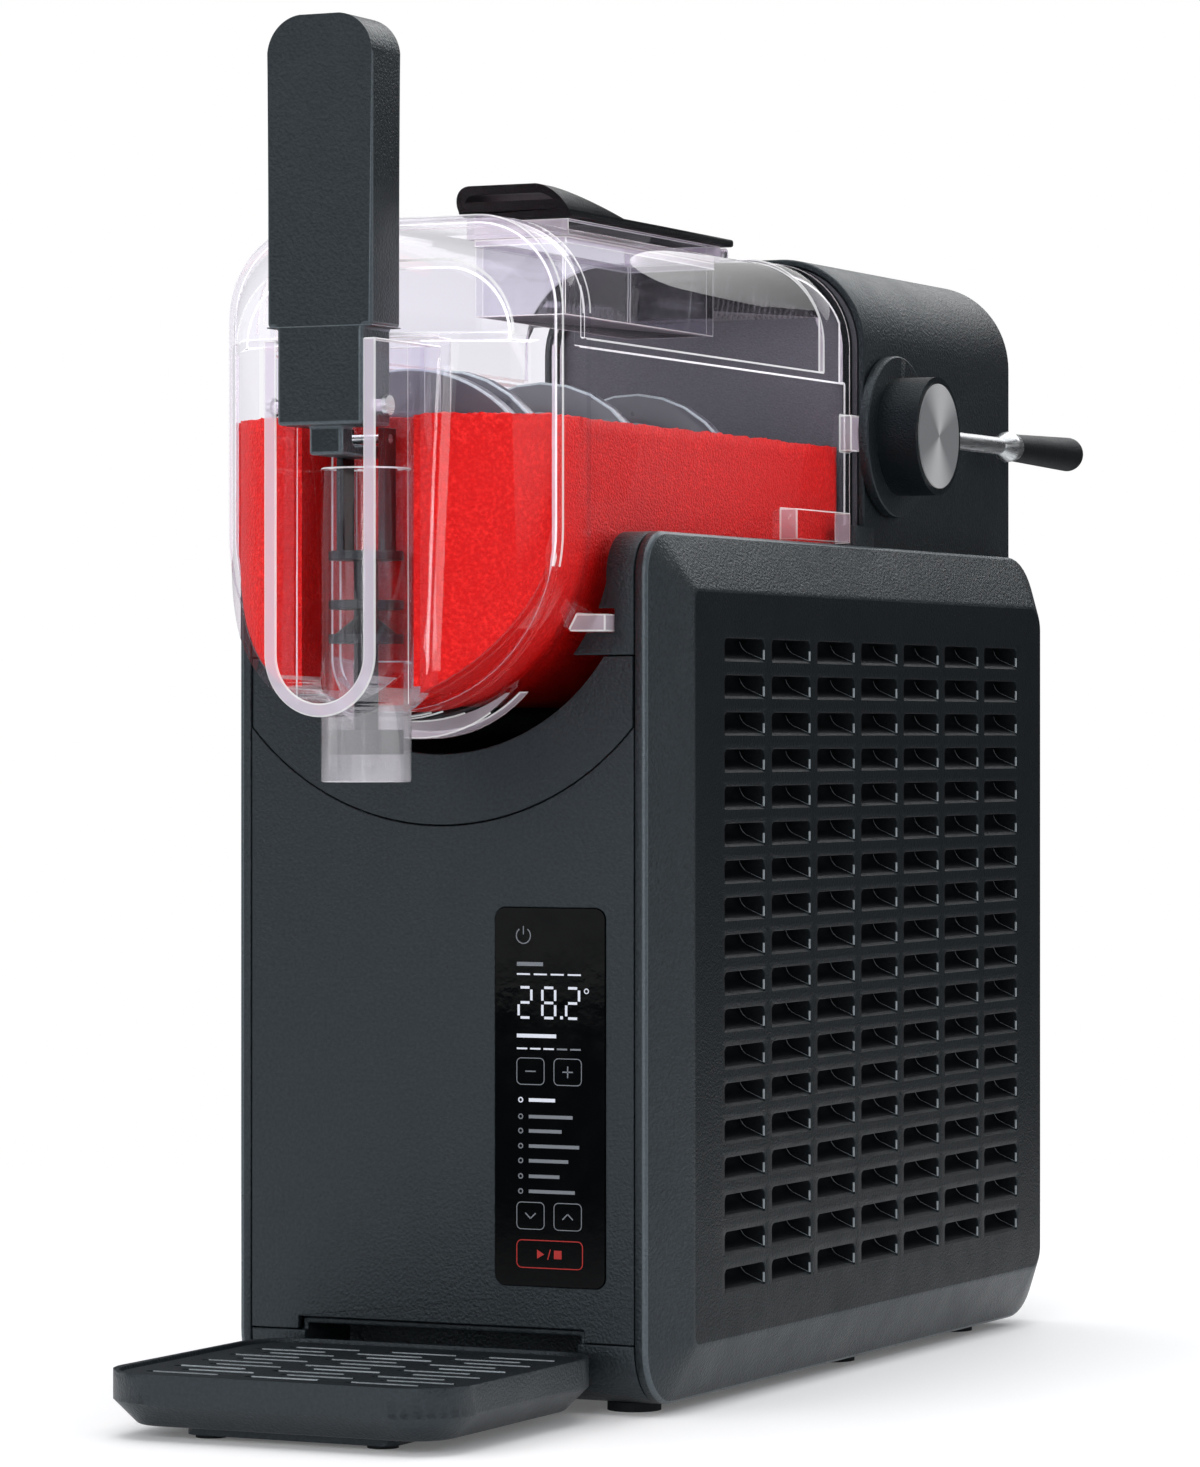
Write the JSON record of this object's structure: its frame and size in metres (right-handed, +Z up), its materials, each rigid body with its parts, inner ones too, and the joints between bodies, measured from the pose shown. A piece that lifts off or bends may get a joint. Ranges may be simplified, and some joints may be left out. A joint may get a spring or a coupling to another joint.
{
  "type": "slush machine",
  "caption": "Countertop slush machine with a clear hooded vessel, pull-handle tap, vessel lock lever, vented charcoal casing, touch panel and drip tray",
  "frame": {"origin": "centre of the bounding box in plan, on the counter", "axes": "x to the machine's right as its front is looked at, y from the front to the back, z up"},
  "size_m": [0.1694, 0.5024, 0.455],
  "materials": {
    "charcoal_plastic": "fine grained moulded plastic",
    "black_plastic": "fine grained moulded plastic",
    "grey_plastic": "smooth moulded plastic",
    "clear_plastic": "clear moulded plastic, polished",
    "black_glass": "gloss black printed glass",
    "black_rubber": "matte rubber",
    "satin_steel": "satin brushed",
    "drum_steel": "dark coated steel",
    "aluminium": "plain fins",
    "brass": "turned",
    "copper": "drawn copper tube",
    "board": "circuit board laminate",
    "black_paint": "black painted metal",
    "red_slush": "icy red slush, modelled as a rigid mass"
  },
  "bodies": {
    "chassis": {"base_pan": "charcoal_plastic", "front_panel": "charcoal_plastic", "top_deck": "charcoal_plastic", "saddle_trough": "charcoal_plastic", "bulkhead": "charcoal_plastic", "rear_panel": "charcoal_plastic", "side_cover_right": "charcoal_plastic", "side_cover_left": "charcoal_plastic", "drive_tower": "charcoal_plastic", "rubber_feet": "black_rubber", "control_glass": "black_glass", "control_board": "board", "compressor": "black_paint", "compressor_grommets": "black_rubber", "condenser": "aluminium", "fan_shroud": "black_plastic", "fan_motor": "black_paint", "gear_motor": "black_paint", "shaft_bush": "brass", "evaporator_drum": "drum_steel", "evaporator_coil": "copper", "refrigerant_lines": "copper", "power_inlet": "black_plastic", "rear_screws": "satin_steel"},
    "auger_drive": {"drive_shaft": "satin_steel", "auger": "grey_plastic", "auger_cap": "black_plastic"},
    "fan": {"fan_blade": "black_plastic"},
    "vessel": {"vessel": "clear_plastic", "vessel_gasket": "black_rubber", "tap_housing": "clear_plastic", "handle_pin": "satin_steel", "fill_funnel": "clear_plastic", "lid_pin": "satin_steel", "slush": "red_slush"},
    "fill_lid": {"fill_lid": "black_plastic"},
    "tap_handle": {"tap_handle": "charcoal_plastic"},
    "plunger": {"plunger": "black_plastic", "plunger_pin": "satin_steel", "plunger_seals": "black_rubber"},
    "lock_lever": {"lock_flange": "charcoal_plastic", "lock_hub": "charcoal_plastic", "lock_disc": "satin_steel", "lock_spindle": "satin_steel", "lever_rod": "satin_steel", "lever_ferrule": "satin_steel", "lever_grip": "black_plastic"},
    "catch": {"condensation_catch": "charcoal_plastic"},
    "drip_tray": {"drip_tray": "charcoal_plastic", "tray_pads": "black_rubber"},
    "drip_grate": {"drip_grate": "charcoal_plastic"}
  },
  "joints": [
    {"name": "auger_spin", "type": "hinge", "parent": "chassis", "child": "auger_drive", "pos_m": [0, 0, 0.291], "axis": [0, 1, 0], "continuous": true},
    {"name": "fan_spin", "type": "hinge", "parent": "chassis", "child": "fan", "pos_m": [0.016, -0.01825, 0.0807], "axis": [1, 0, 0], "continuous": true},
    {"name": "vessel_slide", "type": "slide", "parent": "chassis", "child": "vessel", "axis": [0, -1, 0], "range_m": [0, 0.24]},
    {"name": "lid_hinge", "type": "hinge", "parent": "vessel", "child": "fill_lid", "pos_m": [0, 0.06025, 0.3984], "axis": [-1, 0, 0], "range_deg": [0, 95]},
    {"name": "handle_hinge", "type": "hinge", "parent": "vessel", "child": "tap_handle", "pos_m": [0, -0.20795, 0.3297], "axis": [1, 0, 0], "range_deg": [0, 50]},
    {"name": "plunger_lift", "type": "slide", "parent": "vessel", "child": "plunger", "axis": [0, 0, 1], "range_m": [0, 0.0245]},
    {"name": "lock_turn", "type": "hinge", "parent": "chassis", "child": "lock_lever", "pos_m": [0.0745, 0.10125, 0.333], "axis": [1, 0, 0], "range_deg": [0, 90]},
    {"name": "catch_slide", "type": "slide", "parent": "chassis", "child": "catch", "axis": [0, -1, 0], "range_m": [0, 0.025]},
    {"name": "tray_slide", "type": "slide", "parent": "chassis", "child": "drip_tray", "axis": [0, -1, 0], "range_m": [0, 0.12]},
    {"name": "grate_lift", "type": "slide", "parent": "drip_tray", "child": "drip_grate", "axis": [0, 0, 1], "range_m": [0, 0.06]}
  ],
  "couplings": [
    {"joint": "plunger_lift", "follows": "handle_hinge", "m_per_rad": 0.0277}
  ]
}
